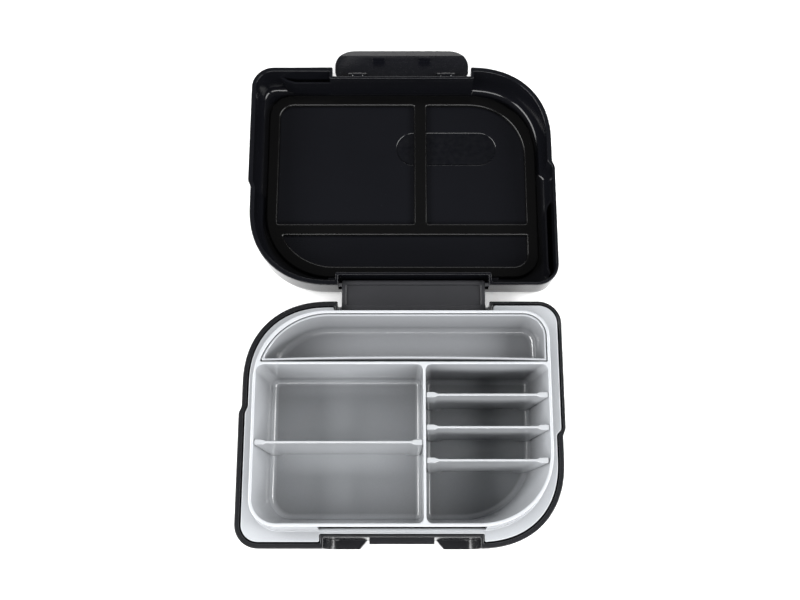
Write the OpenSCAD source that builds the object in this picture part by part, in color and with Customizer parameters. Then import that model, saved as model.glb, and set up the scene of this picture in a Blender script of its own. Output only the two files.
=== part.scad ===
// Hinged bento lunch box, laid open flat: a base with a lift-out food tray, an ice tray
// and sliding-in dividers, and a lid with a seal and a front latch.
// X runs across the box, Y from the front of the base towards the lid, Z up.
// The origin is the centre of the base underside. Millimetres.

/* [Box] */
// Width across the widest part of both halves
box_w = 248.4; // [247:0.1:250]
// Depth of each half, front wall to back wall
box_d = 190; // [189.6:0.1:190.4]
// Height of each half, from its flat face to its rim
half_h = 31; // [30.8:0.1:31.4]
// Size of the two large soft corners
big_r = 66; // [60:1:70]
// Size of the two tight corners
small_r = 18; // [16:1:20]
// Sideways step where a wide lobe starts
jog = 2.1; // [1.5:0.1:2.5]
// Wall thickness at the rim
wall = 4; // [3.6:0.1:4.2]
// Thickness of the flat face of each half
skin = 2.2; // [2:0.1:2.4]
// Gap left between the two rims when shut
rim_gap = 0.3; // [0.2:0.05:0.5]

/* [Food tray] */
// Height of the tray lips above the table
tray_top = 56; // [55:0.1:56.2]
// Width of the raised block of the tray
tray_w = 222.4; // [220:0.2:223]
// Thickness of the lips round the compartments
lip = 2.2; // [2:0.1:2.4]
// Height of the compartment floors
floor_z = 4.6; // [4.4:0.1:5]
// Thickness of the tray floor and flange
tray_t = 1.8; // [1.6:0.1:2]

/* [Ice tray] */
// Depth of the open pan
pan_depth = 26; // [20:1:30]
// Gap between the ice tray and its bay
bay_gap = 0.8; // [0.5:0.1:1]

/* [Dividers] */
// Thickness of a divider blade
blade_t = 1.7; // [1.5:0.1:2]
// Thickness of the bulb at each end of a divider
bulb_t = 4.2; // [3.4:0.1:4.6]

/* [Hinge] */
// Width of the hinge plate
plate_w = 113; // [108:1:114]
// Sideways place of the hinge plate
hinge_x = 9.2; // [8:0.1:10]
// Depth of the pivots below the rims
pivot_drop = 10; // [9.5:0.1:10]
// Distance from a pivot to the outer face
pivot_in = 3.5; // [3.4:0.1:3.6]
// Diameter of the hinge pins
pin_d = 3; // [2.5:0.1:3]

/* [Latch] */
// Width of the latch lever
latch_w = 112; // [108:1:113]
// Length of the latch lever below its pivot
latch_len = 28.5; // [26:0.5:29]
// Diameter of the latch pins
latch_pin_d = 2.4; // [2:0.1:2.4]
// Droop of the open latch below level, in degrees
droop = 10; // [8:1:10]

/* [Hidden] */

run_fit = 0.05;                                  // radial clearance round a turning pin
notch_deep = 8.3;                                // depth of the recesses for hinge and latch
notch_wall = 2.3;                                // wall behind those recesses
hinge_room = 2.7;                                // side gap beside the hinge plate
pin_bite = 6.5;                                  // length of a pin end in its boss
rim_z = half_h;
back_y = box_d / 2;
pivot_z = half_h - pivot_drop;
base_pivot_y = back_y - pivot_in;
pivot_span = 2 * pivot_drop + rim_gap;           // distance between the two hinge pivots
lid_pivot_y = base_pivot_y + pivot_span;
lid_y = lid_pivot_y + base_pivot_y;              // centre of the open lid
tray_front = -81.3;
tray_back = 80.3;
wall_x = 16.7;                                   // middle of the wall between compartments
part_y = 39.3;                                   // middle of the wall in front of the ice bay
flange_z = 29.3;
ice_floor_z = tray_top - pan_depth;
seal_z = 6;                                      // height of the seal face in the open lid
seal_w = 8;
dark = [0.13, 0.13, 0.14];
black = [0.06, 0.06, 0.065];
pale = [0.72, 0.73, 0.75];
steel = [0.75, 0.75, 0.77];

// ---- outlines ----

// Point on a corner of size a; n = 2 is a circle, a larger n is squarer
function corner_pt(c, sx, sy, a, n, inset, t) =
    let (x = a * pow(cos(t), 2 / n), y = a * pow(sin(t), 2 / n),
         nx = pow(x / a, n - 1), ny = pow(y / a, n - 1), l = norm([nx, ny]))
    [c.x + sx * (x - inset * nx / l), c.y + sy * (y - inset * ny / l)];

// Counter-clockwise points of a corner; flip runs the sweep from the Y side to the X side
function corner(c, sx, sy, a, n, inset, steps, flip) =
    [for (i = [0:steps]) corner_pt(c, sx, sy, a, n, inset, 90 * (flip ? steps - i : i) / steps)];

// Outline of a box half: tight corners front-left and back-right, soft ones on the others
function half_outline(inset) =
    let (w = box_w / 2, d = box_d / 2, s = small_r, b = big_r)
    concat(
        corner([-w + s, -d + s], -1, -1, s, 2, inset, 8, false),
        corner([w - jog - b, -d + b], 1, -1, b, 2.25, inset, 16, true),
        [[w - jog - inset, -11], [w - inset, -5]],
        corner([w - s, d - s], 1, 1, s, 2, inset, 8, false),
        corner([-w + jog + b, d - b], -1, 1, b, 2.25, inset, 16, true),
        [[-w + jog + inset, 12], [-w + inset, 6]]);

// Four-cornered outline from bounds b = [x0, x1, y0, y1] and radii r = [fl, fr, br, bl]
function box_outline(b, r, inset) = concat(
    corner([b[0] + r[0], b[2] + r[0]], -1, -1, r[0], 2, inset, 6, false),
    corner([b[1] - r[1], b[2] + r[1]], 1, -1, r[1], 2.1, inset, 12, true),
    corner([b[1] - r[2], b[3] - r[2]], 1, 1, r[2], 2, inset, 6, false),
    corner([b[0] + r[3], b[3] - r[3]], -1, 1, r[3], 2.1, inset, 12, true));

tray_bounds = [-tray_w / 2, tray_w / 2, tray_front, tray_back];
tray_radii = [20, 56, 20, 56];
function tray_outline(inset) = box_outline(tray_bounds, tray_radii, inset);

// D shape of the ice bay: the back of the tray block, closed by a straight front edge
function ice_outline(inset) =
    let (w = tray_w / 2, right_r = 20, left_r = 56,
         cx = -w + left_r, cy = tray_back - left_r, r = left_r - inset,
         front = part_y - 1.2 + inset, start = asin((front + 1.2 - cy) / r),
         right = w - inset, left = cx - r * cos(start) + 0.5)
    concat(
        [[left, front], [right, front]],
        corner([w - right_r, tray_back - right_r], 1, 1, right_r, 2, inset, 8, false),
        [for (i = [12:-1:0]) let (t = start + (90 - start) * i / 12)
            [cx - r * cos(t), cy + r * sin(t)]]);

// Outlines at rising heights joined into one solid; each ring is [points, z]
module loft(rings) {
    n = len(rings[0][0]);
    last = (len(rings) - 1) * n;
    points = [for (r = rings, p = r[0]) [p.x, p.y, r[1]]];
    sides = [for (j = [0:len(rings) - 2], i = [0:n - 1])
        let (a = j * n + i, b = j * n + (i + 1) % n)
        each [[a, a + n, b + n], [a, b + n, b]]];
    polyhedron(points, concat([[for (i = [0:n - 1]) i]], sides, [[for (i = [n - 1:-1:0]) last + i]]));
}

// Loft of one outline function through [inset, z] steps
module half_loft(steps) { loft([for (s = steps) [half_outline(s[0]), s[1]]]); }
module tray_loft(steps) { loft([for (s = steps) [tray_outline(s[0]), s[1]]]); }
module ice_loft(steps) { loft([for (s = steps) [ice_outline(s[0]), s[1]]]); }

// Box from two opposite corners
module block(a, b) { translate(a) cube(b - a); }

// Cylinder along X, centred on x
module rod(x, y, z, d, len) {
    translate([x - len / 2, y, z]) rotate([0, 90, 0]) cylinder(d = d, h = len, $fn = 48);
}

// ---- one shell half, drawn as the base ----

module half_outer() {
    half_loft([[9, 0], [5.4, 0.6], [3.1, 2.2], [1.9, 5], [1.2, 11], [0, rim_z - 0.6], [0.5, rim_z]]);
}

module half_cavity() {
    half_loft([[9.8, skin], [7.4, skin + 0.8], [6, skin + 3], [wall + 1, 12],
               [wall, rim_z - 0.5], [wall - 0.4, rim_z + 0.1]]);
}

notch_w = plate_w + 2 * hinge_room;
notch_floor = pivot_z - pivot_in - 1;

// Walls and pin bosses round the hinge recess
module hinge_housing() {
    half = notch_w / 2;
    block([hinge_x - half - notch_wall, back_y - notch_deep - notch_wall, 1],
          [hinge_x + half + notch_wall, back_y - 2, rim_z - 0.4]);
    for (side = [-1, 1])
        translate([hinge_x + side * (half + (pin_bite + 1.5) / 2), base_pivot_y - 0.9, pivot_z])
            cube([pin_bite + 1.5, 6.6, 8], center = true);
}

// Recess for the hinge plate, and the blind bores for one pin
module hinge_recess() {
    block([hinge_x - notch_w / 2, back_y - notch_deep, notch_floor],
          [hinge_x + notch_w / 2, back_y + 5, rim_z + 5]);
    rod(hinge_x, base_pivot_y, pivot_z, pin_d + 2 * run_fit, notch_w + 2 * pin_bite + 0.6);
}

// ---- base ----

pocket_w = 116;
pocket_floor = 10;
bar_w = 48;
bar_z = 26;

module base_shell() {
    front_wall = -back_y + notch_deep;
    color(dark) {
        difference() {
            union() {
                difference() {
                    half_outer();
                    half_cavity();
                }
                hinge_housing();
                block([-pocket_w / 2 - notch_wall, -back_y + 2, 1],
                      [pocket_w / 2 + notch_wall, front_wall + notch_wall, rim_z - 0.4]);
            }
            hinge_recess();
            latch_pocket(front_wall);
        }
        block([-bar_w / 2, front_wall - 4.8, bar_z], [bar_w / 2, front_wall + 0.5, bar_z + 3.8]);
    }
}

// Recess that the latch closes into, with a finger notch below its middle
module latch_pocket(front_wall) {
    corner_d = 24;
    for (side = [-1, 1])
        translate([side * (pocket_w - corner_d) / 2, front_wall, pocket_floor + corner_d / 2])
            rotate([90, 0, 0]) cylinder(d = corner_d, h = 20, $fn = 48);
    block([-(pocket_w - corner_d) / 2, front_wall - 20, pocket_floor],
          [(pocket_w - corner_d) / 2, front_wall, rim_z + 5]);
    block([-pocket_w / 2, front_wall - 20, pocket_floor + corner_d / 2],
          [pocket_w / 2, front_wall, rim_z + 5]);
    translate([0, 0, -5]) linear_extrude(pocket_floor + 6)
        polygon([[-26, front_wall], [-34, front_wall - 10], [34, front_wall - 10], [26, front_wall]]);
}

// ---- food tray ----

left_top = [-108.9, wall_x - 1, tray_front + lip, part_y - 1];
left_low = [-100.5, wall_x - 2, -70.5, part_y - 1.8];
right_top = [wall_x + 1, 109, tray_front + lip, part_y - 1];
right_low = [wall_x + 2, 98.5, -70.5, part_y - 1.8];
left_radii = [18, 4, 4, 6];
right_radii = [4, 54, 4, 4];

// Ring of a compartment: k runs from 0 at the floor to 1 at the lip
function pocket_ring(low, top, radii, k, inset) =
    box_outline(low + (top - low) * k, radii, inset);

// Compartment from its floor up to the lips, swollen outwards by grow
module compartment(low, top, radii, grow, z0, z1) {
    function at(z) = (z - floor_z) / (tray_top - floor_z);
    corner_r = 3.4;
    loft([[pocket_ring(low, top, radii, 0, corner_r - grow), z0],
          [pocket_ring(low, top, radii, 0, 1 - grow), z0 + 1],
          [pocket_ring(low, top, radii, at(z0 + corner_r), -grow), z0 + corner_r],
          [pocket_ring(low, top, radii, at(z1), -grow), z1]]);
}

module food_tray() {
    color(pale) difference() {
        union() {
            tray_loft([[-0.5, flange_z], [0, tray_top - 0.5], [0.4, tray_top]]);
            difference() {
                half_loft([[wall + 1.1, flange_z], [wall + 1.1, flange_z + tray_t]]);
                flange_cuts();
            }
            compartment(left_low, left_top, left_radii, tray_t, floor_z - tray_t - 0.2, flange_z + 1);
            compartment(right_low, right_top, right_radii, tray_t, floor_z - tray_t - 0.2, flange_z + 1);
            ice_loft([[5, floor_z - tray_t - 0.2], [3.2, floor_z], [0.4, flange_z + 1]]);
        }
        compartment(left_low, left_top, left_radii, 0, floor_z, tray_top + 0.1);
        compartment(right_low, right_top, right_radii, 0, floor_z, tray_top + 0.1);
        ice_loft([[7, floor_z], [5.4, floor_z + 1.6], [lip, tray_top + 0.1]]);
    }
}

// The flange stands clear of the hinge and latch housings
module flange_cuts() {
    clear = 0.5;
    block([hinge_x - notch_w / 2 - notch_wall - clear, back_y - notch_deep - notch_wall - clear, 0],
          [hinge_x + notch_w / 2 + notch_wall + clear, back_y + 5, tray_top]);
    block([-pocket_w / 2 - notch_wall - clear, -back_y - 5, 0],
          [pocket_w / 2 + notch_wall + clear, -back_y + notch_deep + notch_wall + clear, tray_top]);
}

// ---- ice tray: an open pan over a sealed chamber of freezing gel ----

cover_z = floor_z + 1.8;
cover_t = 1.6;
pan_skin = 1.6;
ice_top_inset = lip + bay_gap;
ice_low_inset = 6.2;
gel_x = 20;                                      // sideways place of the filler plug
plug_d = 12;

// Inset of the ice tray's outer face at a height, growing towards the bottom
function ice_inset(z) =
    ice_top_inset + (ice_low_inset - ice_top_inset) * (tray_top - z) / (tray_top - cover_z);

module ice_pan() {
    color(pale) difference() {
        ice_loft([[ice_inset(cover_z + cover_t), cover_z + cover_t],
                  [ice_top_inset, tray_top - 0.5], [ice_top_inset + 0.4, tray_top]]);
        ice_loft([[13.5, ice_floor_z], [11, ice_floor_z + 0.9], [9, ice_floor_z + 3.4],
                  [ice_top_inset + 1.6, tray_top + 0.1]]);
        gel_space();
    }
}

module gel_space() {
    low = cover_z + cover_t;
    high = ice_floor_z - pan_skin;
    ice_loft([[ice_inset(low) + pan_skin, low - 0.01], [ice_inset(high) + pan_skin + 8, high]]);
}

module ice_gel() {
    low = cover_z + cover_t;
    high = ice_floor_z - pan_skin;
    shrink = 0.3;
    color([0.6, 0.8, 0.9]) ice_loft([
        [ice_inset(low) + pan_skin + shrink, low + 0.6],
        [ice_inset(high) + pan_skin + 8 + shrink, high - shrink]]);
}

module ice_cover() {
    color(pale) difference() {
        ice_loft([[ice_low_inset + 0.8, cover_z],
                  [ice_inset(cover_z + cover_t), cover_z + cover_t]]);
        translate([gel_x, 60, cover_z - 1]) cylinder(d = plug_d, h = cover_t + 2, $fn = 48);
    }
}

module ice_plug() {
    color([0.62, 0.63, 0.65])
        translate([gel_x, 60, cover_z]) cylinder(d = plug_d, h = cover_t, $fn = 48);
}

// ---- dividers ----

divider_gap = 0.5;
divider_top = tray_top - 1;

// Blade across a compartment at y, leaning with its side walls, with a bulb down each end
module divider(low, top, y, cut) {
    z0 = floor_z + 0.5;
    bulb_l = 7.5;
    // wall places at the blade's bottom and top
    x_low = [low[0] + divider_gap + cut.x, low[1] - divider_gap - cut.y];
    x_top = [top[0] + divider_gap + cut.x, top[1] - divider_gap - cut.y];
    color(pale) {
        translate([0, y + blade_t / 2, 0]) rotate([90, 0, 0]) linear_extrude(blade_t)
            polygon([[x_low[0] + 4, z0], [x_low[1] - 4, z0], [x_low[1], z0 + 4],
                     [x_top[1], divider_top], [x_top[0], divider_top], [x_low[0], z0 + 4]]);
        translate([0, y + bulb_t / 2, 0]) rotate([90, 0, 0]) linear_extrude(bulb_t)
            for (e = [[x_low[0], x_top[0], 1], [x_low[1], x_top[1], -1]])
                polygon([[e[0], z0 + 6], [e[0] + e[2] * bulb_l, z0 + 6],
                         [e[1] + e[2] * bulb_l, divider_top], [e[1], divider_top]]);
    }
}

divider_y = [-20.2, 15.3, -9.1, -33.5];
module divider_left() { divider(left_low, left_top, divider_y[0], [0, 0]); }
module divider_back() { divider(right_low, right_top, divider_y[1], [0, 0]); }
module divider_middle() { divider(right_low, right_top, divider_y[2], [0, 0]); }
module divider_front() { divider(right_low, right_top, divider_y[3], [0, 1.4]); }

// ---- hinge ----

module hinge_plate() {
    x0 = hinge_x - plate_w / 2;
    x1 = hinge_x + plate_w / 2;
    color(dark) difference() {
        union() {
            block([x0, base_pivot_y, pivot_z - pivot_in], [x1, lid_pivot_y, pivot_z + 3.2]);
            rod(hinge_x, base_pivot_y, pivot_z, 6.4, plate_w);
            rod(hinge_x, lid_pivot_y, pivot_z, 6.4, plate_w);
        }
        block([x0 + 3, base_pivot_y + 2.2, pivot_z + 1.7], [x1 - 3, lid_pivot_y - 2.2, pivot_z + 5]);
        rod(hinge_x, base_pivot_y, pivot_z, pin_d, plate_w + 2);
        rod(hinge_x, lid_pivot_y, pivot_z, pin_d, plate_w + 2);
    }
}

module base_hinge_pin() {
    color(steel) rod(hinge_x, base_pivot_y, pivot_z, pin_d, notch_w + 2 * pin_bite);
}

module lid_hinge_pin() {
    color(steel) rod(hinge_x, lid_pivot_y, pivot_z, pin_d, notch_w + 2 * pin_bite);
}

// ---- lid, drawn as a mirror image of the base behind the hinge ----

module on_lid() { translate([0, lid_y, 0]) mirror([0, 1, 0]) children(); }

badge_x = 37.3;
badge_y = -34;
badge_l = 82;
badge_w = 28;
lid_pocket_w = 115;
lug_x = 37;
knuckle_w = 8;
lug_w = 3;
latch_top = pivot_z - pivot_in - 1.2;

module badge_shape(grow, z0, h) {
    flat = (badge_l - badge_w) / 2;
    for (side = [-1, 1])
        translate([badge_x + side * flat, badge_y, z0]) cylinder(d = badge_w + grow, h = h, $fn = 64);
    translate([badge_x - flat, badge_y - (badge_w + grow) / 2, z0]) cube([2 * flat, badge_w + grow, h]);
}

module lid_shell() {
    front_wall = -back_y + notch_deep;
    color(black) on_lid() difference() {
        union() {
            difference() {
                half_outer();
                half_cavity();
            }
            hinge_housing();
            block([-lid_pocket_w / 2 - notch_wall, -back_y + 2, 1],
                  [lid_pocket_w / 2 + notch_wall, front_wall + notch_wall, rim_z - 0.4]);
            corner_rib(front_wall);
            side_rib();
        }
        hinge_recess();
        lid_latch_recess(front_wall);
        badge_shape(0, -1, 10);
    }
}

// Low wall that carries the latch recess wall on to the front-left corner
module corner_rib(front_wall) {
    rib_z = 22;
    linear_extrude(rib_z) polygon([
        [-59, front_wall + notch_wall], [-90, front_wall + notch_wall],
        [-104, front_wall - 5.5], [-102.5, front_wall - 6.8],
        [-89, front_wall + 0.7], [-59, front_wall + 0.7]]);
}

// Low wall along the inside of the back-right lobe
module side_rib() {
    linear_extrude(22) polygon([[117, 84], [115.4, 78], [115.4, 28], [120, 20],
                                [121, 21.5], [117, 28.5], [117, 77], [118.4, 83]]);
}

// Recess for the latch: open at the rim, with lugs on each side of both knuckles
module lid_latch_recess(front_wall) {
    difference() {
        block([-lid_pocket_w / 2, front_wall - 20, latch_top], [lid_pocket_w / 2, front_wall, rim_z + 5]);
        for (side = [-1, 1], part = [-1, 1])
            latch_lug(side * lug_x + part * (knuckle_w / 2 + 0.4 + lug_w / 2), front_wall);
    }
    for (side = [-1, 1])
        rod(side * lug_x, -base_pivot_y, pivot_z, latch_pin_d, knuckle_w + 2 * lug_w + 0.8);
}

module latch_lug(x, front_wall) {
    block([x - lug_w / 2, -base_pivot_y, pivot_z - 3], [x + lug_w / 2, front_wall + 0.5, pivot_z + 3]);
    rod(x, -base_pivot_y, pivot_z, 6, lug_w);
}

module lid_seal() {
    color([0.1, 0.095, 0.09]) on_lid() {
        difference() {
            tray_loft([[-0.6, skin], [-0.6, seal_z - 0.5], [-0.1, seal_z]]);
            tray_loft([[seal_w - 0.6, skin - 1], [seal_w - 0.6, seal_z + 1]]);
        }
        block([wall_x - 4.8, tray_front + 3, skin], [wall_x + 2.6, part_y, seal_z]);
        block([-tray_w / 2 + 4, part_y - 3.2, skin], [tray_w / 2 - 3, part_y + 3.3, seal_z]);
    }
}

module lid_badge() {
    color(dark) on_lid() badge_shape(0, 0, 1.5);
}

// ---- latch, drawn shut against the lid's own frame, then swung open ----

swing = 90 + droop;

// Turns the shut latch about its pins to the open rest position
module swung_open() {
    translate([0, -base_pivot_y, pivot_z]) rotate([swing, 0, 0])
        translate([0, base_pivot_y, -pivot_z]) children();
}

module latch_lever() {
    color(black) on_lid() swung_open() {
        difference() {
            union() {
                latch_blade();
                for (side = [-1, 1]) {
                    rod(side * lug_x, -base_pivot_y, pivot_z, 6.4, knuckle_w);
                    latch_hook(side * 19.3);
                }
            }
            for (side = [-1, 1]) {
                rod(side * lug_x, -base_pivot_y, pivot_z, latch_pin_d + 2 * run_fit, knuckle_w + 2);
                for (part = [-1, 1])
                    lug_relief(side * lug_x + part * (knuckle_w / 2 + 0.4 + lug_w / 2));
            }
        }
    }
}

// Room in the lever's root for one lid lug
module lug_relief(x) {
    w = lug_w + 0.8;
    rod(x, -base_pivot_y, pivot_z, 7.8, w);
}

module latch_blade() {
    corner_d = 24;
    outer_y = -back_y;
    blade = 2.8;
    low = pivot_z - 1.5;
    high = pivot_z + latch_len;
    x = (latch_w - corner_d) / 2;
    translate([0, outer_y + blade, 0]) rotate([90, 0, 0]) linear_extrude(blade) {
        translate([-latch_w / 2, low]) square([latch_w, high - low - corner_d / 2]);
        translate([-x, low]) square([2 * x, high - low]);
        for (side = [-1, 1])
            translate([side * x, high - corner_d / 2]) circle(d = corner_d, $fn = 64);
    }
    block([-x, outer_y + blade - 0.2, high - 2.4], [x, outer_y + blade + 0.8, high]);
}

// Hook that passes under the catch bar of the base
module latch_hook(x) {
    reach = pivot_z + 16.5;
    block([x - 5, -back_y + 2.7, reach], [x + 5, -back_y + 6.6, reach + 2.4]);
}

module latch_pins() {
    color(steel) on_lid() for (side = [-1, 1])
        rod(side * lug_x, -base_pivot_y, pivot_z, latch_pin_d, knuckle_w + 2 * lug_w + 0.8);
}

base_shell();
food_tray();
ice_pan();
ice_cover();
ice_gel();
ice_plug();
divider_left();
divider_back();
divider_middle();
divider_front();
hinge_plate();
base_hinge_pin();
lid_hinge_pin();
lid_shell();
lid_seal();
lid_badge();
latch_lever();
latch_pins();
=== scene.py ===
import math

import bmesh
import bpy
from mathutils import Matrix, Vector


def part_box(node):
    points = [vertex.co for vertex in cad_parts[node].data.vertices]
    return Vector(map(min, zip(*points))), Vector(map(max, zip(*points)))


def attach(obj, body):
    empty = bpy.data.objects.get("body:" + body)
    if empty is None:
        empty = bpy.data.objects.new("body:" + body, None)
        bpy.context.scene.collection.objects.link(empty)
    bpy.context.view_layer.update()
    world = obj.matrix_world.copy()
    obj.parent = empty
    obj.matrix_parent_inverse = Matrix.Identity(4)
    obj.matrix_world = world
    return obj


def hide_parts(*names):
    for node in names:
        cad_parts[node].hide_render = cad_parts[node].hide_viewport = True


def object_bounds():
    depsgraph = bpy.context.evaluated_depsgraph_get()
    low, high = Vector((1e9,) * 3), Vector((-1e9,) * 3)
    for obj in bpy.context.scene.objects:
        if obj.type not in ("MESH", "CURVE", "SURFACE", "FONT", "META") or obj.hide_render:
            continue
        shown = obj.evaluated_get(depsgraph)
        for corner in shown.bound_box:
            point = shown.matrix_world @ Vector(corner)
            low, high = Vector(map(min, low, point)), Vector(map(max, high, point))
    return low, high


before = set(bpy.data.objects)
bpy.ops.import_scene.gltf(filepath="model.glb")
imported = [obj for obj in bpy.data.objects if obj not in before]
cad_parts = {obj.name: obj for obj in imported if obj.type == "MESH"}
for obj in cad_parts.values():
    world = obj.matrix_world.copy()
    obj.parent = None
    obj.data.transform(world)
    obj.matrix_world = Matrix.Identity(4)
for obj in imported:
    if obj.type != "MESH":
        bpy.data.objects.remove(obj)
cad_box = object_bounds()

MM = 0.001


# ---- camera, lights and floor ----

base_lo, base_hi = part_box("base_shell")
CAMERA_TILT = math.radians(16.9)
CAMERA_LENS = 52.7
CAMERA_FROM_BASE = (-0.0014, -0.170, 0.906)
camera_data = bpy.data.cameras.new("camera")
camera_data.lens = CAMERA_LENS
camera_data.sensor_width = 36
camera = bpy.data.objects.new("camera", camera_data)
camera.location = ((base_lo.x + base_hi.x) / 2 + CAMERA_FROM_BASE[0],
                   (base_lo.y + base_hi.y) / 2 + CAMERA_FROM_BASE[1], base_lo.z + CAMERA_FROM_BASE[2])
camera.rotation_euler = (CAMERA_TILT, 0, 0)
bpy.context.scene.collection.objects.link(camera)
bpy.context.scene.camera = camera
bpy.context.scene.view_settings.view_transform = "Standard"

stage_centre = (cad_box[0] + cad_box[1]) / 2


def softbox(name, azimuth, elevation, distance, size, power):
    """Area light aimed at the middle of the object; azimuth 0 stands in front, 90 on the right."""
    data = bpy.data.lights.new(name, "AREA")
    data.shape = "RECTANGLE"
    data.size, data.size_y = size
    data.energy = power
    light = bpy.data.objects.new(name, data)
    a, e = math.radians(azimuth), math.radians(elevation)
    out = Vector((math.sin(a) * math.cos(e), -math.cos(a) * math.cos(e), math.sin(e)))
    light.location = stage_centre + out * distance
    light.rotation_euler = (-out).to_track_quat("-Z", "Y").to_euler()
    bpy.context.scene.collection.objects.link(light)


softbox("left_softbox", -85, 34, 1.5, (1.4, 0.6), 37)
softbox("right_softbox", 85, 34, 1.5, (1.4, 0.6), 37)
softbox("back_softbox", 180, 17, 1.5, (1.6, 0.35), 9)
softbox("front_softbox", 0, 38, 1.6, (1.6, 0.5), 34)

WORLD_LIGHT = 0.12
world = bpy.data.worlds.new("studio")
world.use_nodes = True
world.node_tree.nodes["Background"].inputs["Color"].default_value = (1, 1, 1, 1)
world.node_tree.nodes["Background"].inputs["Strength"].default_value = WORLD_LIGHT
bpy.context.scene.world = world

# ---- materials ----

# painted shade: how far the ambient occlusion looks for the piece's own hollows, in metres
PAINTED_SHADE_REACH = 0.06


def plastic(name, colour, rough, specular=0.4, grain=0.25, wear=0.12, mottle=0.06, depth=0.0):
    """Moulded plastic: cloudy tint, fine moulded grain, faint rubbed streaks and paler worn edges.

    depth is painted shade: it darkens the colour in the piece's own hollows, by ambient occlusion, for shade
    that the softboxes wash out.
    """
    material = bpy.data.materials.new(name)
    material.use_nodes = True
    nodes, links = material.node_tree.nodes, material.node_tree.links
    shader = nodes["Principled BSDF"]
    shader.inputs["Specular IOR Level"].default_value = specular
    place = nodes.new("ShaderNodeTexCoord")

    def noise(scale, detail, source=None):
        node = nodes.new("ShaderNodeTexNoise")
        node.inputs["Scale"].default_value = scale
        node.inputs["Detail"].default_value = detail
        links.new(source or place.outputs["Object"], node.inputs["Vector"])
        return node.outputs["Fac"]

    def ramp(source, low, high, start=0.3, end=0.7):
        node = nodes.new("ShaderNodeMapRange")
        node.inputs["From Min"].default_value, node.inputs["From Max"].default_value = start, end
        node.inputs["To Min"].default_value, node.inputs["To Max"].default_value = low, high
        links.new(source, node.inputs["Value"])
        return node.outputs["Result"]

    # streaks run across the box, as rubbing by hands and cloths leaves them
    stretch = nodes.new("ShaderNodeMapping")
    stretch.inputs["Scale"].default_value = (1.0, 9.0, 4.0)
    links.new(place.outputs["Object"], stretch.inputs["Vector"])
    streaks = noise(38, 5, stretch.outputs["Vector"])
    cloud = noise(14, 3)
    fine = noise(2600, 2)
    scuffs = noise(240, 6)

    tint = nodes.new("ShaderNodeMix")
    tint.data_type = "RGBA"
    tint.inputs["A"].default_value = (*[c * (1 - mottle) for c in colour], 1)
    tint.inputs["B"].default_value = (*[min(1, c * (1 + mottle)) for c in colour], 1)
    links.new(ramp(cloud, 0, 1), tint.inputs["Factor"])

    edge = nodes.new("ShaderNodeMix")
    edge.data_type = "RGBA"
    edge.inputs["B"].default_value = (*[min(1, c * 1.5 + 0.03) for c in colour], 1)
    links.new(tint.outputs["Result"], edge.inputs["A"])
    geometry = nodes.new("ShaderNodeNewGeometry")
    sharp = ramp(geometry.outputs["Pointiness"], 0, wear, 0.52, 0.62)
    worn = nodes.new("ShaderNodeMath")
    worn.operation = "MULTIPLY"
    links.new(sharp, worn.inputs[0])
    links.new(ramp(scuffs, 0.2, 1), worn.inputs[1])
    links.new(worn.outputs[0], edge.inputs["Factor"])
    links.new(edge.outputs["Result"], shader.inputs["Base Color"])
    # painted shade: the colour is darkened by ambient occlusion in the piece's own hollows
    if depth:
        painted_shade_ao = nodes.new("ShaderNodeAmbientOcclusion")
        painted_shade_ao.only_local, painted_shade_ao.samples = True, 8
        painted_shade_ao.inputs["Distance"].default_value = PAINTED_SHADE_REACH
        deep = nodes.new("ShaderNodeMix")
        deep.data_type = "RGBA"
        deep.inputs["A"].default_value = (*[c * (1 - depth) for c in colour], 1)
        links.new(edge.outputs["Result"], deep.inputs["B"])
        links.new(ramp(painted_shade_ao.outputs["AO"], 0, 1, 0.15, 0.85), deep.inputs["Factor"])
        links.new(deep.outputs["Result"], shader.inputs["Base Color"])

    gloss = nodes.new("ShaderNodeMath")
    gloss.operation = "ADD"
    links.new(ramp(streaks, -0.012, 0.012), gloss.inputs[0])
    links.new(ramp(scuffs, rough - 0.015, rough + 0.02), gloss.inputs[1])
    links.new(gloss.outputs[0], shader.inputs["Roughness"])

    bump = nodes.new("ShaderNodeBump")
    bump.inputs["Strength"].default_value = grain
    bump.inputs["Distance"].default_value = 0.00004
    links.new(fine, bump.inputs["Height"])
    wave = nodes.new("ShaderNodeBump")
    wave.inputs["Strength"].default_value = 0.10
    wave.inputs["Distance"].default_value = 0.0008
    links.new(cloud, wave.inputs["Height"])
    links.new(bump.outputs["Normal"], wave.inputs["Normal"])
    links.new(wave.outputs["Normal"], shader.inputs["Normal"])
    return material


def metal(name, colour, rough):
    """Bare metal, with the same grain, streaks and scuffs as the plastics."""
    material = plastic(name, colour, rough, specular=0.5, grain=0.4, wear=0.05, mottle=0.04)
    material.node_tree.nodes["Principled BSDF"].inputs["Metallic"].default_value = 1
    return material


SHELL = plastic("shell_plastic", (0.011, 0.0113, 0.0126), 0.20, specular=0.45)
LID = plastic("lid_plastic", (0.0036, 0.0038, 0.0050), 0.14, specular=0.24, grain=0.10)
HINGE = plastic("hinge_plastic", (0.028, 0.0283, 0.0310), 0.33, specular=0.35)
LATCH = plastic("latch_plastic", (0.0028, 0.0030, 0.0045), 0.26, specular=0.20, grain=0.15)
BADGE = plastic("badge_plastic", (0.0018, 0.0020, 0.0030), 0.14, specular=0.22, grain=0.10)
SEAL = plastic("seal_silicone", (0.0018, 0.0018, 0.0019), 0.22, specular=0.25, grain=0.10, wear=0.02)
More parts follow.
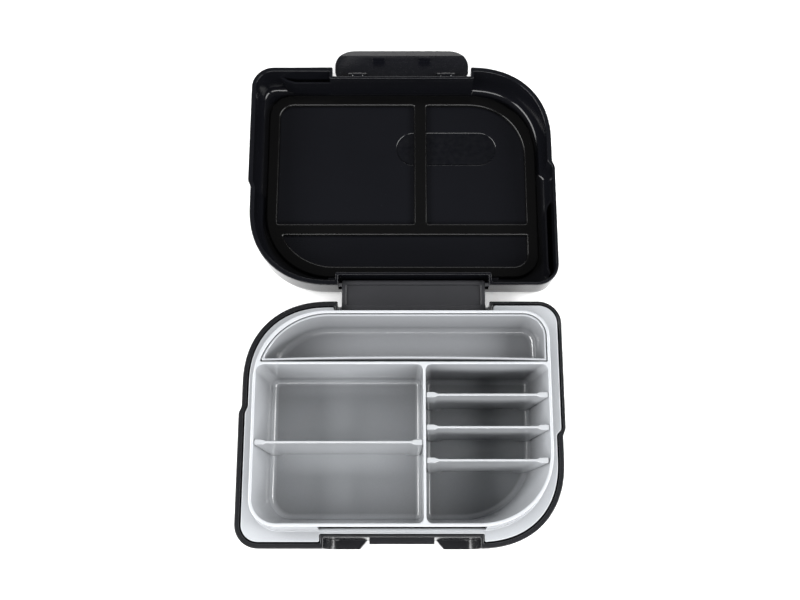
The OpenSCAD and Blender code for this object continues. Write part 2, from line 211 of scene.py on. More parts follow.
# the tray and the ice tray get painted shade in their hollows through depth
TRAY = plastic("tray_plastic", (0.350, 0.362, 0.378), 0.15, specular=0.5, grain=0.03, wear=0.02, mottle=0.015,
               depth=0.75)
ICE = plastic("ice_tray_plastic", (0.275, 0.284, 0.298), 0.11, specular=0.55, grain=0.03, wear=0.02,
              mottle=0.015, depth=0.6)
DIVIDER = plastic("divider_plastic", (0.30, 0.31, 0.322), 0.16, specular=0.5, grain=0.03, wear=0.0,
                  mottle=0.015)
PLUG = plastic("plug_plastic", (0.30, 0.31, 0.33), 0.4)
GEL = plastic("freezing_gel", (0.45, 0.66, 0.80), 0.2, specular=0.5)
STEEL = metal("pin_steel", (0.55, 0.55, 0.57), 0.28)
FLOOR = plastic("floor_paint", (0.93, 0.93, 0.93), 0.75, specular=0.0, grain=0.1, wear=0.0, mottle=0.0)

FLOOR_GLOW = 0.22
floor_shader = FLOOR.node_tree.nodes["Principled BSDF"]
floor_shader.inputs["Emission Color"].default_value = (1, 1, 1, 1)
floor_shader.inputs["Emission Strength"].default_value = FLOOR_GLOW

floor_mesh = bpy.data.meshes.new("floor")
FLOOR_REACH = 3.0
floor_corners = [(x * FLOOR_REACH, y * FLOOR_REACH, 0) for x, y in ((-1, -1), (1, -1), (1, 1), (-1, 1))]
floor_mesh.from_pydata(floor_corners, [], [(0, 1, 2, 3)])
floor = bpy.data.objects.new("floor", floor_mesh)
floor.location.z = cad_box[0].z
floor_mesh.materials.append(FLOOR)
bpy.context.scene.collection.objects.link(floor)

# ---- mesh building ----


def new_object(name, mesh):
    obj = bpy.data.objects.new(name, mesh)
    bpy.context.scene.collection.objects.link(obj)
    return obj


def loft(name, rings):
    """Closed solid through rings of points in millimetres, with a flat cap on the first and last ring."""
    n = len(rings[0])
    points = [[c * MM for c in p] for ring in rings for p in ring]
    faces = [list(range(n)), [(len(rings) - 1) * n + i for i in range(n)]]
    for j in range(len(rings) - 1):
        for i in range(n):
            a, b = j * n + i, j * n + (i + 1) % n
            faces.append([a, b, b + n, a + n])
    mesh = bpy.data.meshes.new(name)
    mesh.from_pydata(points, [], faces)
    clean(mesh)
    return new_object(name, mesh)


def clean(mesh):
    """Joins doubled points, drops faces without area and turns all faces outwards."""
    bm = bmesh.new()
    bm.from_mesh(mesh)
    bmesh.ops.remove_doubles(bm, verts=bm.verts, dist=2e-6)
    bmesh.ops.dissolve_degenerate(bm, edges=bm.edges, dist=2e-6)
    bmesh.ops.recalc_face_normals(bm, faces=bm.faces)
    bm.to_mesh(mesh)
    bm.free()


def extrude(name, outline, along, low, high):
    """Solid prism of a 2D outline along axis X, Y or Z, in millimetres."""
    order = {"X": lambda u, v, w: (w, u, v), "Y": lambda u, v, w: (u, w, v), "Z": lambda u, v, w: (u, v, w)}
    place = order[along]
    return loft(name, [[place(u, v, w) for u, v in outline] for w in (low, high)])


def block(name, low, high):
    outline = [(low[0], low[1]), (high[0], low[1]), (high[0], high[1]), (low[0], high[1])]
    return extrude(name, outline, "Z", low[2], high[2])


def rod(name, x, y, z, radius, length, sides=48):
    """Round bar along X."""
    turn = [2 * math.pi * i / sides for i in range(sides)]
    outline = [(y + radius * math.cos(t), z + radius * math.sin(t)) for t in turn]
    return extrude(name, outline, "X", x - length / 2, x + length / 2)


def combine(target, others, operation):
    """Joins or cuts the target with the other solids, which are used up."""
    for other in others:
        modifier = target.modifiers.new(operation, "BOOLEAN")
        modifier.operation, modifier.object, modifier.solver = operation, other, "EXACT"
        bake(target)
        bpy.data.objects.remove(other)
    return target


def bake(obj):
    """Replaces an object's mesh by what its modifiers make of it."""
    graph = bpy.context.evaluated_depsgraph_get()
    mesh = bpy.data.meshes.new_from_object(obj.evaluated_get(graph))
    obj.modifiers.clear()
    obj.data = mesh


def soften(obj, radius, segments=2):
    """Rounds the sharp edges of a solid."""
    modifier = obj.modifiers.new("round", "BEVEL")
    modifier.width, modifier.segments = radius * MM, segments
    modifier.limit_method, modifier.angle_limit = "ANGLE", math.radians(38)
    modifier.use_clamp_overlap = False
    bake(obj)
    clean(obj.data)
    return obj


# Faces above this area, in square metres, are shaded exactly flat
BROAD_FACE = 0.01


def finish_piece(obj, material, body, nodes=(), radius=0.4, segments=2, turn=None):
    """Rounds the sharp edges, shades and paints a finished piece, hangs it on its body and hides the CAD
    nodes it stands in for.
    """
    if turn:
        obj.data.transform(turn)
        clean(obj.data)
    if radius:
        soften(obj, radius, segments)
    obj.data.shade_smooth()
    obj.data.set_sharp_from_angle(angle=math.radians(32))
    for face in obj.data.polygons:
        if face.area > BROAD_FACE:
            face.use_smooth = False
    flatten = obj.modifiers.new("flat_faces_stay_flat", "WEIGHTED_NORMAL")
    flatten.mode, flatten.keep_sharp, flatten.weight = "FACE_AREA", True, 60
    bake(obj)
    obj.data.materials.clear()
    obj.data.materials.append(material)
    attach(obj, body)
    if nodes:
        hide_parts(*nodes)
    return obj


# ---- outlines ----


def corner(cx, cy, sx, sy, size, power, inset, steps, flip):
    """Points of one rounded corner; power 2 is a circle and a larger power is squarer."""
    points = []
    for i in range(steps + 1):
        t = math.pi / 2 * ((steps - i) if flip else i) / steps
        c, s = max(math.cos(t), 0), max(math.sin(t), 0)
        x, y = size * c ** (2 / power), size * s ** (2 / power)
        nx, ny = (x / size) ** (power - 1), (y / size) ** (power - 1)
        length = math.hypot(nx, ny)
        points.append((cx + sx * (x - inset * nx / length), cy + sy * (y - inset * ny / length)))
    return points


half_w = (base_hi.x - base_lo.x) / 2 / MM
half_d = (base_hi.y - base_lo.y) / 2 / MM
rim_z = (base_hi.z - base_lo.z) / MM
plate_lo, plate_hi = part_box("hinge_plate")
pin_lo, pin_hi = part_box("base_hinge_pin")
seal_lo, seal_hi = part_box("lid_seal")
lid_lo, lid_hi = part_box("lid_shell")
tray_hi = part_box("food_tray")[1]
lid_y = (lid_lo.y + lid_hi.y) / 2 / MM
hinge_x = (plate_lo.x + plate_hi.x) / 2 / MM
plate_w = (plate_hi.x - plate_lo.x) / MM

SMALL_R, BIG_R, BIG_POWER, JOG = 18, 66, 2.25, 2.1
WALL = 4.0
LOBE_THIN = 1.5
RECESS_DEEP, RECESS_WALL = 8.3, 2.3
HINGE_HALF = plate_w / 2 + 2.7
HINGE_LEDGE = 16.5


def half_outline(inset, front, back, lobe=0.0):
    """Outline of a box half; front and back are the extra points along those two edges.

    lobe moves the edge outwards round the back-right lobe, where the wall is thinner.
    """
    w, d, s, b = half_w, half_d, SMALL_R, BIG_R
    thin = inset - lobe
    # the first two points of the front-right corner are left out: they fold back over the latch pocket's end
    return (corner(-w + s, -d + s, -1, -1, s, 2, inset, 12, False) + front
            + corner(w - JOG - b, -d + b, 1, -1, b, BIG_POWER, inset, 32, True)[2:]
            + [(w - JOG - inset, -11.5), (w - JOG * 0.8 - inset, -9.8), (w - JOG * 0.2 - thin, -6.8),
               (w - thin, -5)]
            + corner(w - s, d - s, 1, 1, s, 2, thin, 12, False) + back
            + corner(-w + JOG + b, d - b, -1, 1, b, BIG_POWER, inset, 32, True)
            + [(-w + JOG + inset, 12), (-w + JOG * 0.8 + inset, 10.4), (-w + JOG * 0.2 + inset, 7.6),
               (-w + inset, 6)])


def recess_side(half, edge, floor_y):
    """Right side of a recess, from its floor out to the edge, with both corners rounded."""
    sign = 1 if floor_y > edge else -1
    r = min(0.9, abs(floor_y - edge) / 2)
    s = 0.29 * r
    return [(half - r, floor_y), (half - s, floor_y - sign * s), (half, floor_y - sign * r),
            (half, edge + sign * r), (half + s, edge + sign * s), (half + r, edge)]


def back_points(inset, depth, lip, inner, lobe):
    """Points of the hinge recess along the back edge, from right to left; depth runs from 0 to 1."""
    edge = half_d - inset
    half = HINGE_HALF + (RECESS_WALL - lip if inner else lip)
    deep = half_d - RECESS_DEEP - (RECESS_WALL - lip if inner else lip)
    floor_y = edge + (min(deep, edge) - edge) * depth
    right = recess_side(half, edge, floor_y)
    return ([(hinge_x + x, y + (lobe if i == 5 else 0)) for i, (x, y) in reversed(list(enumerate(right)))]
            + [(hinge_x - x, y) for x, y in right])


def front_points(inset, half, depth, notch, lip, inner):
    """Points of the latch pocket and the finger notch along the front edge, from left to right.

    depth runs from 0, no pocket, to 1; notch is the same for the finger notch below it.
    """
    edge = -half_d + inset
    wall = -half_d + RECESS_DEEP + (RECESS_WALL - lip if inner else lip)
    half += RECESS_WALL - lip if inner else lip
    wall = max(wall, edge)
    pocket = edge + (wall - edge) * depth
    notch_in = max(pocket, edge + (wall - edge) * notch)
    outer_notch = NOTCH_HALF + (wall - edge) * 0.8
    right = [(NOTCH_HALF, notch_in), (outer_notch, pocket)] + recess_side(half, edge, pocket)
    return [(-x, y) for x, y in reversed(right)] + right


NOTCH_HALF = 26
POCKET_HALF, POCKET_LEDGE, POCKET_R = 58, 10, 12
LID_POCKET_HALF, LID_LEDGE = 57.5, 16.3
OUTER_FOOT = [(9, 0), (7.2, 0.12), (5.6, 0.5), (4.2, 1.2), (3.1, 2.2), (2.4, 3.5), (1.9, 5.2), (1.5, 8)]
RIM_OUT = [(0.12, 30.2), (0.22, 30.6), (0.45, 30.88), (0.8, 31)]


def pocket_half(z):
    """Half width of the base's pocket at a height: its two lower corners are round."""
    drop = max(0.0, POCKET_LEDGE + POCKET_R - z)
    return POCKET_HALF - POCKET_R + math.sqrt(max(POCKET_R ** 2 - drop ** 2, 0))


# How a ledge is rounded: (depth of the recess above it, height against the ledge)
LEDGE_STEPS = [(0, -0.7), (0.012, -0.3), (0.05, -0.06), (0.1, 0), (0.9, 0), (0.96, 0.06), (0.99, 0.3),
               (1, 0.8)]


def depth_at(z, ledge):
    """Depth of a recess at a height, with a rounded ledge at its foot."""
    for (d0, z0), (d1, z1) in zip(LEDGE_STEPS, LEDGE_STEPS[1:]):
        if z0 <= z - ledge < z1:
            return d0 + (d1 - d0) * (z - ledge - z0) / (z1 - z0)
    return 0.0 if z < ledge else 1.0


def shell_rings(is_lid):
    """Rings from the flat face up the outside, over the rim and down the inside to the floor."""
    ledge = LID_LEDGE if is_lid else POCKET_LEDGE
    top = rim_z - 31

    def outer(inset, z, front_depth, back_depth, lip=0.0):
        half = LID_POCKET_HALF if is_lid else pocket_half(max(z, POCKET_LEDGE))
        front = front_points(inset, half, front_depth, 0.0 if is_lid else 1.0, lip, False)
        back = back_points(inset, back_depth, lip, False, 0)
        return [(x, y, z) for x, y in half_outline(inset, front, back)]

    def inner(inset, z, lip=0.0):
        half = LID_POCKET_HALF if is_lid else POCKET_HALF
        thin = LOBE_THIN if inset < 8 else LOBE_THIN * max(0.0, (12 - inset) / 4)
        front = front_points(inset, half, 1, 0, lip, True)
        back = back_points(inset, 1, lip, True, thin)
        return [(x, y, z) for x, y in half_outline(inset, front, back, thin)]

    rings = [outer(i, z, 0, 0) for i, z in OUTER_FOOT]
    heights = {ledge: [(z, d, depth_at(ledge + z, HINGE_LEDGE)) for d, z in LEDGE_STEPS],
               HINGE_LEDGE: [(z, depth_at(HINGE_LEDGE + z, ledge), d) for d, z in LEDGE_STEPS]}
    if is_lid:
        # both ledges of the lid are at almost one height, so they share their steps
        heights = {ledge: [(z, d, d) for d, z in LEDGE_STEPS]}
    levels = [(foot + z, f, b) for foot, steps in heights.items() for z, f, b in steps]
    levels += [(z, depth_at(z, ledge), depth_at(z, HINGE_LEDGE)) for z in (11.6, 13, 14.6, 18.5, 21.9, 26)
               if min(abs(z - ledge), abs(z - HINGE_LEDGE)) > 1]
    for z, front_depth, back_depth in sorted(levels):
        rings.append(outer(1.5 - 1.4 * (z - 8) / 22, z, front_depth, back_depth))
    rings += [outer(i, z + top, 1, 1, i - 0.12) for i, z in RIM_OUT]
    rings += [inner(WALL - i + 0.1, z + top, i - 0.12) for i, z in reversed(RIM_OUT)]
    inside = [(4.3, 24), (4.7, 16), (5.1, 10), (5.7, 7), (6.6, 4.9), (7.8, 3.4), (9.4, 2.5), (11.4, 2.2)]
    return rings + [inner(i, z) for i, z in inside]


# ---- base ----

pin_y = (pin_lo.y + pin_hi.y) / 2 / MM
pin_z = (pin_lo.z + pin_hi.z) / 2 / MM
pin_half = (pin_hi.x - pin_lo.x) / 2 / MM
PIN_R, PLATE_HOLE_R = 1.55, 1.5


def pin_bosses():
    """The blocks that hold the two ends of a hinge pin, inside a shell."""
    made = []
    for side in (-1, 1):
        x0 = hinge_x + side * (HINGE_HALF + 0.2)
        x1 = hinge_x + side * (pin_half + 1.6)
        made.append(block("boss", (min(x0, x1), pin_y - 4.2, pin_z - 4), (max(x0, x1), pin_y + 1, pin_z + 4)))
    return made


def make_shell(name, is_lid):
    shell = loft(name, shell_rings(is_lid))
    combine(shell, pin_bosses(), "UNION")
    bore = rod("bore", hinge_x, pin_y, pin_z, PIN_R, pin_half * 2 + 0.6, 32)
    return combine(shell, [bore], "DIFFERENCE")


base = make_shell("base_body", False)
BAR_HALF, BAR_LOW, BAR_HIGH = 24, 26, 29.8
pocket_wall = -half_d + RECESS_DEEP
bar = block("bar", (-BAR_HALF, pocket_wall - 4.8, BAR_LOW), (BAR_HALF, pocket_wall + 1.2, BAR_HIGH))
combine(base, [soften(bar, 0.5)], "UNION")
finish_piece(base, SHELL, "base", ["base_shell"], radius=0)

# ---- food tray ----

block_half = seal_hi.x / MM - 0.6
block_front = lid_y - seal_hi.y / MM + 0.6
block_back = lid_y - seal_lo.y / MM - 0.6
tray_top = tray_hi.z / MM
LIP = 2.2
FLANGE_LOW, FLANGE_HIGH = 29.3, 31.1
FLOOR_Z = 4.6
TRAY_T = 1.8
WALL_X, PART_Y = 16.7, 39.3


def box_outline(bounds, radii, inset=0.0, steps=(10, 28, 10, 28)):
    """Four-cornered outline; radii are front-left, front-right, back-right, back-left."""
    x0, x1, y0, y1 = bounds
    fl, fr, br, bl = radii
    return (corner(x0 + fl, y0 + fl, -1, -1, fl, 2, inset, steps[0], False)
            + corner(x1 - fr, y0 + fr, 1, -1, fr, 2.1, inset, steps[1], True)
            + corner(x1 - br, y1 - br, 1, 1, br, 2, inset, steps[2], False)
            + corner(x0 + bl, y1 - bl, -1, 1, bl, 2.1, inset, steps[3], True))


BLOCK_BOUNDS = (-block_half, block_half, block_front, block_back)
BLOCK_RADII = (20, 56, 20, 56)


def block_ring(inset, z):
    return [(x, y, z) for x, y in box_outline(BLOCK_BOUNDS, BLOCK_RADII, inset)]


def ice_ring(inset, z, bow=1.6, front=None):
    """D shape of the ice bay: the back of the tray block, closed by a slightly bowed front edge."""
    right_r, left_r = 20, 56
    cx, cy, r = -block_half + left_r, block_back - left_r, left_r - inset
    front = PART_Y - 1.2 + inset if front is None else front
    start = math.asin((front + 1.2 - cy) / r)
    left, right = cx - r * math.cos(start) + 0.5, block_half - inset
    across = [(left + (right - left) * i / 16, front + bow * 4 * i / 16 * (1 - i / 16)) for i in range(17)]
    arc = [(cx - r * math.cos(t), cy + r * math.sin(t))
           for t in (start + (math.pi / 2 - start) * i / 24 for i in range(24, -1, -1))]
    turn = corner(block_half - right_r, block_back - right_r, 1, 1, right_r, 2, inset, 10, False)
    return [(x, y, z) for x, y in across + turn + arc]


def compartment(name, low, top, radii, grow, z0, z1):
    """Compartment from its floor up to z1, with a rounded foot, swollen outwards by grow."""
    foot = 4.2
    steps = (10, 28, 10, 10)
    rings = []
    for k in range(7):
        t = math.pi / 2 * k / 6
        rings.append((foot * (1 - math.sin(t)), z0 + foot * (1 - math.cos(t))))
    rings.append((0, z1))
    made = []
    for inset, z in rings:
        share = (z - FLOOR_Z) / (tray_top - FLOOR_Z)
        bounds = [a + (b - a) * max(share, 0) for a, b in zip(low, top)]
        made.append([(x, y, z) for x, y in box_outline(bounds, radii, inset - grow, steps)])
    return loft(name, made)


LEFT_TOP = (-108.9, WALL_X - 1, block_front + LIP, PART_Y - 1)
LEFT_LOW = (-100.5, WALL_X - 2, -70.5, PART_Y - 1.8)
RIGHT_TOP = (WALL_X + 1, 109, block_front + LIP, PART_Y - 1)
RIGHT_LOW = (WALL_X + 2, 98.5, -70.5, PART_Y - 1.8)
LEFT_RADII, RIGHT_RADII = (18, 4.5, 4.5, 6), (4.5, 54, 4.5, 4.5)


def flange():
    """Flat ledge round the tray, just inside the shell's rim, stepped back at the hinge and the latch."""
    gap = 1.1
    inset = WALL + gap
    clear = 0.5

    def ring(z):
        front = front_points(inset, POCKET_HALF + 0.1, 1, 0, -clear, True)
        back = back_points(inset, 1, -clear, True, LOBE_THIN)
        return [(x, y, z) for x, y in half_outline(inset, front, back, LOBE_THIN)]

    return loft("flange", [ring(FLANGE_LOW), ring(FLANGE_HIGH)])


under = FLOOR_Z - TRAY_T
tray = loft("tray_body", [block_ring(-0.5, FLANGE_LOW + 0.4), block_ring(0, tray_top)])
combine(tray, [
    flange(),
    compartment("left_outer", LEFT_LOW, LEFT_TOP, LEFT_RADII, TRAY_T, under, FLANGE_LOW + 1),
    compartment("right_outer", RIGHT_LOW, RIGHT_TOP, RIGHT_RADII, TRAY_T, under, FLANGE_LOW + 1),
    loft("bay_outer", [ice_ring(6, under, 0), ice_ring(4.2, under + 1, 0), ice_ring(0.4, FLANGE_LOW + 1, 0)]),
], "UNION")
combine(tray, [
    compartment("left_inner", LEFT_LOW, LEFT_TOP, LEFT_RADII, 0, FLOOR_Z, tray_top + 1),
    compartment("right_inner", RIGHT_LOW, RIGHT_TOP, RIGHT_RADII, 0, FLOOR_Z, tray_top + 1),
    loft("bay_inner", [ice_ring(7.4, FLOOR_Z, 0), ice_ring(6, FLOOR_Z + 1.2, 0),
                       ice_ring(LIP, tray_top + 1, 0)]),
], "DIFFERENCE")
soften(tray, 0.7, 3)
# the open slot under the front lip is cut after the edges are rounded, as its foot is thinner than they are
SLOT_LEFT, SLOT_RIGHT = -61, 61.5
slot_front, slot_foot, slot_back = block_front - 1, block_front + 0.9, block_front + 2.4
slot_top = tray_top - 3
combine(tray, [extrude("slot", [
    (slot_foot, FLANGE_LOW - 1), (slot_back, FLANGE_LOW - 1), (slot_foot, slot_top),
    (slot_front, slot_top), (slot_front, FLANGE_HIGH + 1), (slot_foot, FLANGE_HIGH + 1)],
    "X", SLOT_LEFT, SLOT_RIGHT)], "DIFFERENCE")
finish_piece(tray, TRAY, "tray", ["food_tray"], radius=0)

# ---- ice tray ----

ice_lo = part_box("ice_pan")[0]
ice_bottom = ice_lo.z / MM
PAN_FLOOR = tray_top - 26
ICE_TOP, ICE_LOW = 3.0, 6.1


def pan_rings():
    """Up the outside of the pan, over its rolled rim and down the inside to its floor."""
    rings = [ice_ring(ICE_LOW, ice_bottom, 0), ice_ring(ICE_LOW - 0.1, ice_bottom + 1, 0)]
    for z in (20, 35, 48, 55):
        share = (z - ice_bottom) / (tray_top - ice_bottom)
        rings.append(ice_ring(ICE_LOW + (ICE_TOP - ICE_LOW) * share, z, 1.6 * max(0, (z - 20) / 36)))
    rings += [ice_ring(ICE_TOP + 0.15, tray_top - 0.3), ice_ring(ICE_TOP + 0.5, tray_top)]
    rings += [ice_ring(ICE_TOP + 1.2, tray_top), ice_ring(ICE_TOP + 1.6, tray_top - 0.35)]
    rings += [ice_ring(ICE_TOP + 2.6, 50), ice_ring(ICE_TOP + 4.2, 40)]
    foot = 5.5
    for k in range(8):
        t = math.pi / 2 * k / 7
        rings.append(ice_ring(8.0 + foot * (1 - math.cos(t)), PAN_FLOOR + foot * (1 - math.sin(t)),
                              1.6 - 0.6 * k / 7))
    return rings


pan = loft("ice_tray_pan", pan_rings())
chamber = loft("chamber", [ice_ring(ICE_LOW + 1.5, ice_bottom - 1, 0),
                           ice_ring(ICE_LOW + 9, PAN_FLOOR - 1.6, 0)])
combine(pan, [chamber], "DIFFERENCE")
finish_piece(pan, ICE, "ice_tray", ["ice_pan"], radius=0)

# ---- dividers ----

BULB_L, NECK_L, BULB_T, BLADE_T = 5.5, 3.0, 4.2, 1.7


def divider(name, node, body):
    """Blade that leans with the side walls, with a wider bar and a sloping neck at each end."""
    lo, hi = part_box(node)
    left = LEFT_TOP if hi.x / MM < WALL_X else RIGHT_TOP
    low = LEFT_LOW if left is LEFT_TOP else RIGHT_LOW
    y = (lo.y + hi.y) / 2 / MM
    z0, z1 = lo.z / MM, hi.z / MM
    x_top = (lo.x / MM, hi.x / MM)
    lean = (low[0] - left[0], low[1] - left[1])

    def ring(z, cut, thin):
        share = (z1 - z) / (z1 - z0)
        a = x_top[0] + lean[0] * share + cut
        b = x_top[1] + lean[1] * share - cut
        t, s = BLADE_T / 2 - thin, BULB_T / 2 - thin * 1.2
        half = [(a, s * 0.8), (a + 0.5, s), (a + BULB_L, s), (a + BULB_L + NECK_L, t),
                (b - BULB_L - NECK_L, t), (b - BULB_L, s), (b - 0.5, s), (b, s * 0.8)]
        return [(x, y - v, z) for x, v in half] + [(x, y + v, z) for x, v in reversed(half)]

    rings = [ring(z0, 4.2, 0.25), ring(z0 + 0.6, 3.2, 0.1), ring(z0 + 2, 1.4, 0.05), ring(z0 + 4, 0.3, 0),
             ring((z0 + z1) / 2, 0, 0), ring(z1 - 0.5, 0, 0), ring(z1 - 0.15, 0.1, 0.12), ring(z1, 0.3, 0.35)]
    finish_piece(loft(name, rings), DIVIDER, body, [node], radius=0.25)


for place in ("left", "back", "middle", "front"):
    divider("divider_blade_" + place, "divider_" + place, place + "_divider")

# ---- hinge plate ----

lid_pin_lo, lid_pin_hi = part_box("lid_hinge_pin")
lid_pin_y = (lid_pin_lo.y + lid_pin_hi.y) / 2 / MM
plate_low, plate_high = plate_lo.z / MM, plate_hi.z / MM


def plate_outline():
    """Side view: flat on the outer face, with a round end over each pin."""
    r = plate_high - pin_z
    steps = 12
    near = [(pin_y + r * math.cos(t), pin_z + r * math.sin(t))
            for t in (math.radians(90 + 180 * i / steps) for i in range(steps + 1))]
    far = [(lid_pin_y + r * math.cos(t), pin_z + r * math.sin(t))
           for t in (math.radians(-90 + 180 * i / steps) for i in range(steps + 1))]
    return near + [(pin_y + 1.5, plate_low), (lid_pin_y - 1.5, plate_low)] + far


plate = extrude("hinge_link", plate_outline(), "X", hinge_x - plate_w / 2, hinge_x + plate_w / 2)
panel = [(hinge_x - plate_w / 2 + 3.2, pin_y + 2.0), (hinge_x + plate_w / 2 - 3.2, lid_pin_y - 1.2)]
panel_cut = loft("panel", [
    [(x, y, z) for x, y in box_outline((panel[0][0] + e, panel[1][0] - e, panel[0][1] + e, panel[1][1] - e),
                                       (1.5, 1.5, 1.5, 1.5), 0, (6, 6, 6, 6))]
    for e, z in ((0.5, plate_high - 1.5), (0, plate_high - 1.1), (-0.1, plate_high + 1))])
pin_holes = [rod("hole", hinge_x, y, pin_z, PLATE_HOLE_R, plate_w + 2, 32) for y in (pin_y, lid_pin_y)]
combine(plate, [panel_cut] + pin_holes, "DIFFERENCE")
finish_piece(plate, HINGE, "hinge", ["hinge_plate"], radius=0.5, segments=3)

# ---- lid, built as a base half and mirrored behind the hinge ----

MIRROR = Matrix.Translation((0, lid_y * MM, 0)) @ Matrix.Diagonal((1, -1, 1, 1))
badge_lo, badge_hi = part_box("lid_badge")
BADGE_Y = lid_y - (badge_lo.y + badge_hi.y) / 2 / MM
BADGE_X = (badge_lo.x + badge_hi.x) / 2 / MM
BADGE_R = (badge_hi.y - badge_lo.y) / 2 / MM
BADGE_FLAT = (badge_hi.x - badge_lo.x) / 2 / MM - BADGE_R


def stadium(grow, z, steps=20):
    r = BADGE_R + grow
    right = [(BADGE_X + BADGE_FLAT + r * math.cos(t), BADGE_Y + r * math.sin(t), z)
             for t in (math.radians(-90 + 180 * i / steps) for i in range(steps + 1))]
    left = [(BADGE_X - BADGE_FLAT + r * math.cos(t), BADGE_Y + r * math.sin(t), z)
            for t in (math.radians(90 + 180 * i / steps) for i in range(steps + 1))]
    return right + left


lid = make_shell("lid_body", True)
front_wall = -half_d + RECESS_DEEP
RIB_Z = 22
corner_rib = [(x, front_wall + y) for x, y in (
    (-59, 2.3), (-89, 2.3), (-96, 0.6), (-103.5, -5), (-102.4, -6.4), (-95.2, -1), (-88.7, 0.8), (-59, 0.8))]
side_rib = [(117.4, 83.5), (115.6, 78), (115.4, 30), (116.4, 25.5), (120, 20.5), (121, 21.6), (117.8, 26.4),
            (117, 30.6), (117.1, 77.6), (118.7, 82.8)]
ribs = [soften(extrude("rib", outline, "Z", 1.5, RIB_Z), 0.35) for outline in (corner_rib, side_rib)]
combine(lid, ribs, "UNION")
FLOOR_TOP = 2.2
WINDOW = [(0.02, -1), (0.02, 1.0), (0.15, 1.35), (0.5, 1.75), (1.0, 2.05), (1.6, FLOOR_TOP),
          (2.2, FLOOR_TOP + 0.2), (2.4, 6)]
combine(lid, [loft("window", [stadium(grow, z) for grow, z in WINDOW])], "DIFFERENCE")

LATCH_PIN_R, KNUCKLE_X, KNUCKLE_W, LUG_W, LUG_R = 1.2, 37, 8, 3, 3
latch_pivot_y = -pin_y


def lug(x):
    arm = block("lug", (x - LUG_W / 2, latch_pivot_y, pin_z - LUG_R),
                (x + LUG_W / 2, front_wall + 0.5, pin_z + LUG_R))
    return combine(arm, [rod("lug_end", x, latch_pivot_y, pin_z, LUG_R, LUG_W, 32)], "UNION")


LUG_X = [side * KNUCKLE_X + part * (KNUCKLE_W / 2 + 0.4 + LUG_W / 2) for side in (-1, 1) for part in (-1, 1)]
combine(lid, [lug(x) for x in LUG_X], "UNION")
combine(lid, [rod("bore", side * KNUCKLE_X, latch_pivot_y, pin_z, LATCH_PIN_R, 15, 24) for side in (-1, 1)],
        "DIFFERENCE")
finish_piece(lid, LID, "lid", ["lid_shell"], radius=0, turn=MIRROR)

# ---- seal ----

seal_low, seal_top = seal_lo.z / MM, seal_hi.z / MM
BAND = 8
seal_bounds = (seal_lo.x / MM, seal_hi.x / MM, lid_y - seal_hi.y / MM, lid_y - seal_lo.y / MM)
inner_x = (seal_bounds[0] + BAND, seal_bounds[1] - BAND)
inner_y = (seal_bounds[2] + BAND, seal_bounds[3] - BAND)


EDGE_R = 1.7
ROUND = [(EDGE_R * math.cos(t), EDGE_R * (1 - math.sin(t))) for t in (math.pi / 2 * k / 6 for k in range(7))]
# (inset, height) of a hole through the seal, rounded over at the top
HOLE_STEPS = [(EDGE_R, seal_low - 1)] + [(e, seal_top - d) for e, d in ROUND] + [(-0.4, seal_top + 0.5)]


def seal_hole(name, bounds, radii):
    return loft(name, [[(x, y, z) for x, y in box_outline(bounds, radii, e)] for e, z in HOLE_STEPS])


seal = loft("seal_frame", [[(x, y, z) for x, y in box_outline(seal_bounds, (20.6, 56.6, 20.6, 56.6), e)]
                           for e, z in [(0, seal_low)] + [(EDGE_R - e, seal_top - d) for e, d in ROUND]])
combine(seal, [
    seal_hole("left_hole", (inner_x[0], WALL_X - 4.8, inner_y[0], PART_Y - 3.2), (13, 3, 3, 3)),
    seal_hole("right_hole", (WALL_X + 2.6, inner_x[1], inner_y[0], PART_Y - 3.2), (3, 49, 3, 3)),
    loft("ice_hole", [ice_ring(BAND - 0.6 + e, z, 0, PART_Y + 3.3 + e) for e, z in HOLE_STEPS]),
], "DIFFERENCE")
finish_piece(seal, SEAL, "lid", ["lid_seal"], radius=0.35, turn=MIRROR)

# ---- latch, built shut and swung open ----

latch_lo, latch_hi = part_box("latch_lever")
latch_half = (latch_hi.x - latch_lo.x) / 2 / MM
SWING, LATCH_LEN, BLADE = 100, 28.5, 2.8
HOOK_X, HOOK_HALF, KNUCKLE_R, RELIEF_R = 19.3, 5, 3.2, 3.95
SWUNG = (MIRROR @ Matrix.Translation((0, latch_pivot_y * MM, pin_z * MM))
         @ Matrix.Rotation(math.radians(SWING), 4, "X")
         @ Matrix.Translation((0, -latch_pivot_y * MM, -pin_z * MM)))


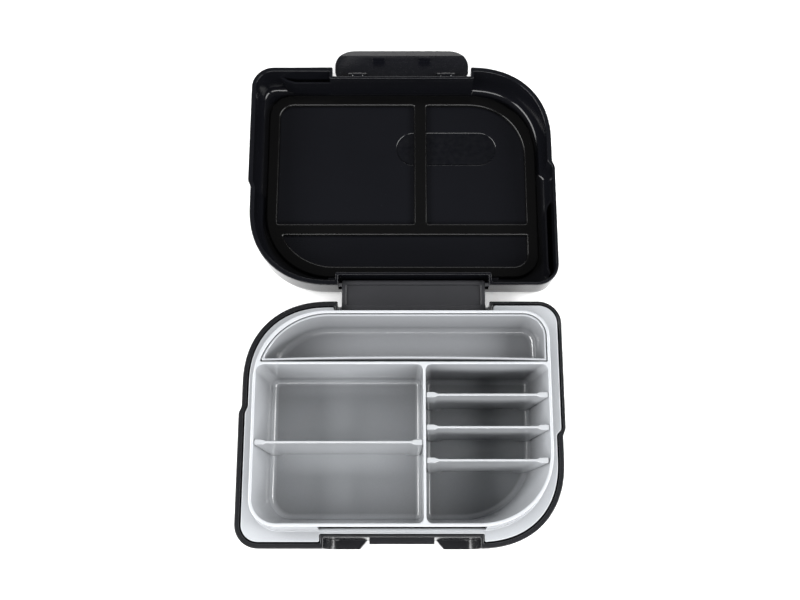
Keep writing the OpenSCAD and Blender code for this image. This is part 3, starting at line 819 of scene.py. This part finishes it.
def blade_outline(inset=0.0):
    """Front view of the latch: four round corners, larger ones at the tip."""
    r, root, low, high = 16.5, 8, pin_z - 1.5, pin_z + LATCH_LEN
    points = []
    for size, y, first in ((root, low + root, -90), (r, high - r, 0)):
        for i in range(15):
            t = math.radians(first + 90 * i / 14)
            reach = size - inset
            points.append((latch_half - size + reach * math.cos(t), y + reach * math.sin(t)))
    return points + [(-a, b) for a, b in reversed(points)]


latch = loft("latch_body", [[(x, -half_d + y, z) for x, z in blade_outline(e)]
                            for e, y in ((1.2, 0), (0.5, 0.25), (0, 0.9), (0, BLADE))])
TIP = 6.4
tip_y, tip_z = -half_d + BLADE, pin_z + LATCH_LEN
taper = extrude("taper", [(tip_y + 0.02, tip_z - TIP), (tip_y - 1.3, tip_z + 0.2), (tip_y + 2, tip_z + 0.2),
                          (tip_y + 2, tip_z - TIP)], "X", -latch_half - 1, latch_half + 1)
hooks = [block("hook", (side * HOOK_X - HOOK_HALF, -half_d + BLADE - 0.2, pin_z + 16.5),
               (side * HOOK_X + HOOK_HALF, -half_d + 6.6, pin_z + 18.5)) for side in (-1, 1)]
knuckles = [rod("knuckle", side * KNUCKLE_X, latch_pivot_y, pin_z, KNUCKLE_R, KNUCKLE_W, 40)
            for side in (-1, 1)]
combine(latch, hooks + knuckles, "UNION")
combine(latch, [taper] + [rod("relief", x, latch_pivot_y, pin_z, RELIEF_R, LUG_W + 0.8, 40) for x in LUG_X]
        + [rod("bore", side * KNUCKLE_X, latch_pivot_y, pin_z, LATCH_PIN_R + 0.05, KNUCKLE_W + 2, 24)
           for side in (-1, 1)], "DIFFERENCE")
finish_piece(latch, LATCH, "latch", ["latch_lever"], radius=0.4, turn=SWUNG)

# ---- CAD nodes that stay ----

KEPT = {"base_hinge_pin": STEEL, "lid_hinge_pin": STEEL, "latch_pins": STEEL, "lid_badge": BADGE,
        "ice_cover": ICE, "ice_plug": PLUG, "ice_gel": GEL}
for name, material in KEPT.items():
    for material_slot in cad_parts[name].material_slots:
        material_slot.material = material
